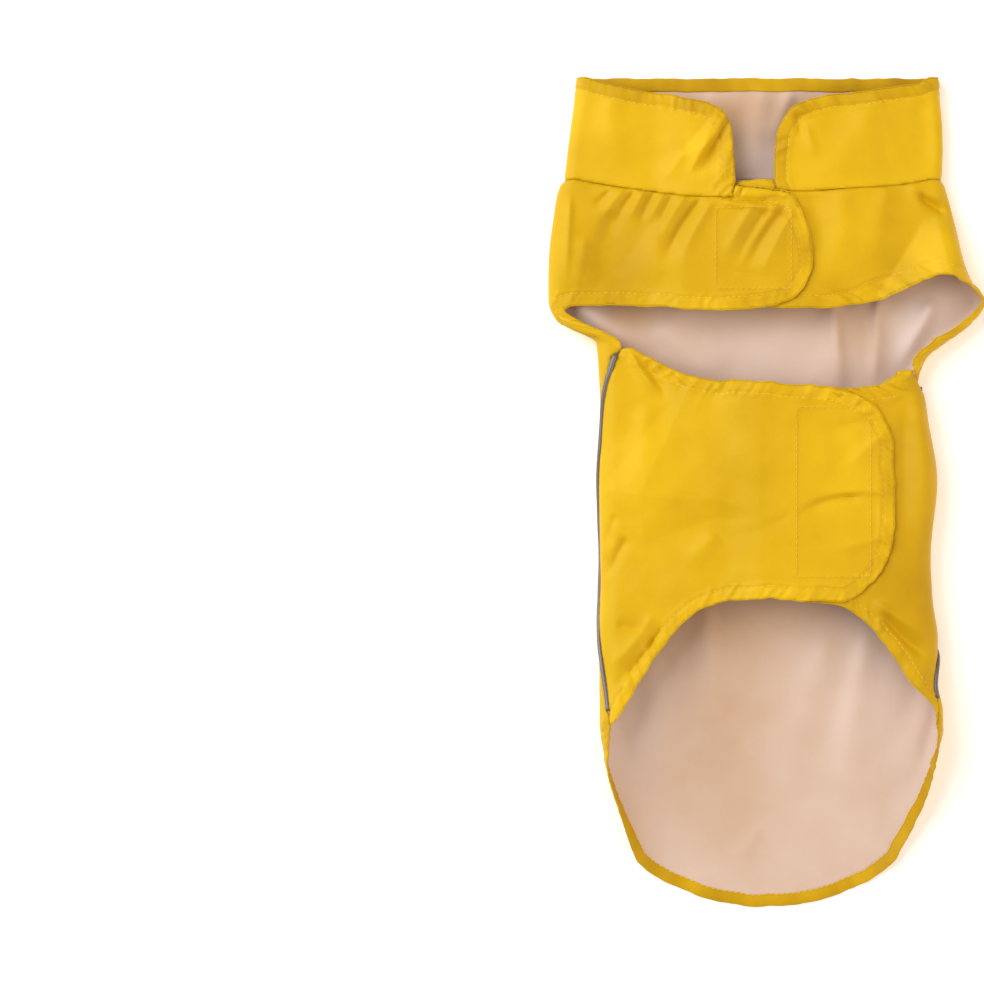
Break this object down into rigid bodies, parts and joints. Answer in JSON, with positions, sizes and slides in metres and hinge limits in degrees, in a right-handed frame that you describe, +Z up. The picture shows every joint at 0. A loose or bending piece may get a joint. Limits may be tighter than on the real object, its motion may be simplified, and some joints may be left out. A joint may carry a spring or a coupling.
{
  "type": "dog raincoat",
  "caption": "Yellow dog raincoat laid flat on its back, with a stand-up collar, chest and belly closing tabs, leg opening, piped side seams and a rounded tail.",
  "frame": {"origin": "centre of the bounding box's base, on the surface that the coat lies on", "axes": "+Y along the back from the tail to the collar, +Z up out of the belly side, +X to the right as seen from above with the collar at the top"},
  "size_m": [0.2397, 0.457, 0.0281],
  "materials": {
    "shell": "woven polyester, yellow and water-repellent outside, with a pale pinkish-cream coating inside",
    "piping": "grey retroreflective cord edging",
    "tape": "yellow hook-and-loop tape"
  },
  "bodies": {
    "root": {"back_panel": "shell", "collar": "shell", "left_belly_panel": "shell", "right_belly_panel": "shell", "left_piping": "piping", "right_piping": "piping", "chest_hook_patch": "tape", "chest_loop_patch": "tape", "belly_hook_patch": "tape", "belly_loop_patch": "tape"}
  },
  "joints": []
}
